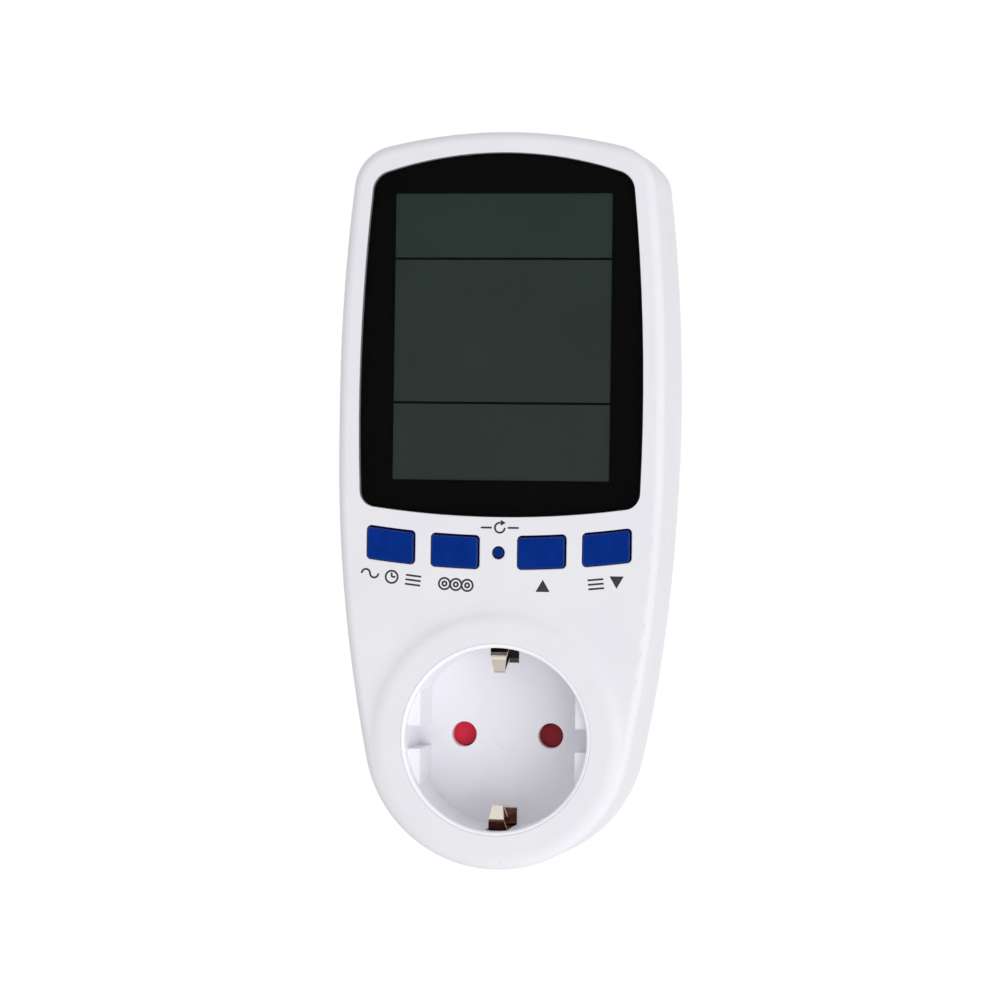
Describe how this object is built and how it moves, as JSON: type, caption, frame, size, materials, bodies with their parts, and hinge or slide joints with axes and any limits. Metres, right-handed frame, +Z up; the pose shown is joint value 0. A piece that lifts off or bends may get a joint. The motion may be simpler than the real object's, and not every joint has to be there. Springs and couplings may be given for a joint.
{
  "type": "plug-in energy monitor",
  "caption": "Plug-in energy meter with a dark display window, blue keys, a recessed earthed socket with a red safety shutter, and a round earthed plug on its back.",
  "frame": {"origin": "midway between the two plug pins, on the plug's end face, which seats on the floor of a wall socket", "axes": "+Y points out of the plug along its pins, towards the wall; the front faces -Y; +Z is up along the housing; +X is to the right seen from the front"},
  "size_m": [0.0714, 0.0745, 0.1582],
  "materials": {
    "housing": "fine satin moulded ABS, white",
    "socket_insert": "smooth moulded, white",
    "window": "polished dark acrylic",
    "display": "dark liquid crystal glass",
    "white_inner": "plain moulded",
    "blue_key": "fine satin moulded, blue",
    "black_plastic": "plain moulded",
    "switch_body": "plain moulded",
    "zebra": "layered conductive silicone",
    "board": "green solder resist",
    "red_shutter": "smooth moulded, red",
    "nickel": "nickel plated, bright",
    "brass": "rolled",
    "manganin": "rolled",
    "steel": "zinc plated",
    "yellow_case": "moulded",
    "blue_coating": "dipped epoxy",
    "green_sleeve": "shrink sleeve",
    "lead_red": "insulated wire",
    "lead_blue": "insulated wire",
    "ribbon": "flat cable"
  },
  "bodies": {
    "housing": {"front_shell": "housing", "back_shell": "housing", "socket_cup": "socket_insert", "plug_body": "socket_insert", "display_window": "window", "lcd_panel": "display", "lcd_holder": "white_inner", "contact_carrier": "white_inner", "meter_chip": "black_plastic", "display_chip": "black_plastic", "rectifier_diodes": "black_plastic", "smoothing_capacitor": "black_plastic", "key_switches": "switch_body", "zebra_strips": "zebra", "display_board": "board", "main_board": "board", "earth_strap": "nickel", "plug_earth_strap": "nickel", "plug_pin_left": "nickel", "plug_pin_right": "nickel", "earth_pin_sleeve": "nickel", "clock_crystal": "nickel", "earth_rivet": "nickel", "live_contact": "brass", "neutral_contact": "brass", "live_busbar": "brass", "neutral_busbar": "brass", "shunt_resistor": "manganin", "case_screws": "steel", "display_screws": "steel", "board_screws": "steel", "carrier_screws": "steel", "plug_screws": "steel", "shutter_spring": "steel", "dropper_capacitor": "yellow_case", "varistor": "blue_coating", "backup_battery": "green_sleeve", "live_lead": "lead_red", "neutral_lead": "lead_blue", "ribbon_cable": "ribbon"},
    "function_button": {"function_key": "blue_key", "function_plunger": "black_plastic"},
    "cost_button": {"cost_key": "blue_key", "cost_plunger": "black_plastic"},
    "up_button": {"up_key": "blue_key", "up_plunger": "black_plastic"},
    "down_button": {"down_key": "blue_key", "down_plunger": "black_plastic"},
    "reset_button": {"reset_key": "blue_key", "reset_plunger": "black_plastic"},
    "safety_shutter": {"shutter": "red_shutter"}
  },
  "joints": [
    {"name": "function_press", "type": "slide", "parent": "housing", "child": "function_button", "axis": [0, 1, 0], "range_m": [0, 0.0006], "stiffness_N_per_m": 1000, "springref_m": -0.0015},
    {"name": "cost_press", "type": "slide", "parent": "housing", "child": "cost_button", "axis": [0, 1, 0], "range_m": [0, 0.0006], "stiffness_N_per_m": 1000, "springref_m": -0.0015},
    {"name": "up_press", "type": "slide", "parent": "housing", "child": "up_button", "axis": [0, 1, 0], "range_m": [0, 0.0006], "stiffness_N_per_m": 1000, "springref_m": -0.0015},
    {"name": "down_press", "type": "slide", "parent": "housing", "child": "down_button", "axis": [0, 1, 0], "range_m": [0, 0.0006], "stiffness_N_per_m": 1000, "springref_m": -0.0015},
    {"name": "reset_press", "type": "slide", "parent": "housing", "child": "reset_button", "axis": [0, 1, 0], "range_m": [0, 0.0006], "stiffness_N_per_m": 1000, "springref_m": -0.0015},
    {"name": "shutter_turn", "type": "hinge", "parent": "housing", "child": "safety_shutter", "pos_m": [0, -0.0341, 0], "axis": [0, 1, 0], "range_deg": [0, 38], "stiffness_Nm_per_rad": 0.004, "springref_deg": -17.19}
  ]
}
